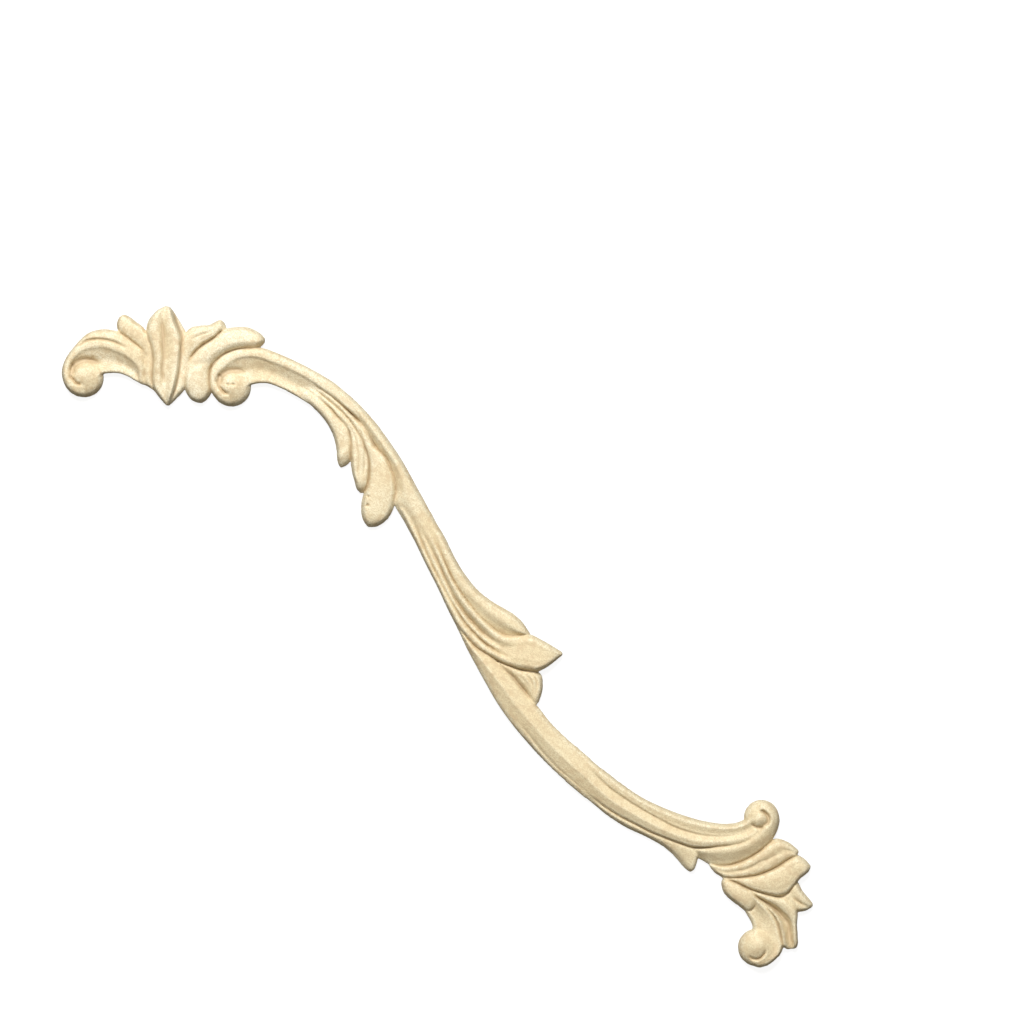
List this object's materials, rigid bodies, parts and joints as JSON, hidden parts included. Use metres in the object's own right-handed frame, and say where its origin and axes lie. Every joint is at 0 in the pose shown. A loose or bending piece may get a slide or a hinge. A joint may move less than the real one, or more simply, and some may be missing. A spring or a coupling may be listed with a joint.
{
  "type": "bendable wood onlay",
  "caption": "Long flexible moulded-wood onlay with a flat back: an S-curved leafy stem between two clusters of acanthus leaves and scrolls.",
  "frame": {"origin": "on the flat back, under the middle of the outline's box", "axes": "+Z out of the carved face, +X along the length from the leaf cluster at the crest to the scrolls at the foot, +Y across, towards the crest leaf's tip"},
  "size_m": [0.4696, 0.0898, 0.0095],
  "materials": {
    "moulded_wood": "matt, pale cream, unpainted, with fine lengthwise streaks and warm brown creases"
  },
  "bodies": {
    "root": {"onlay": "moulded_wood"}
  },
  "joints": []
}
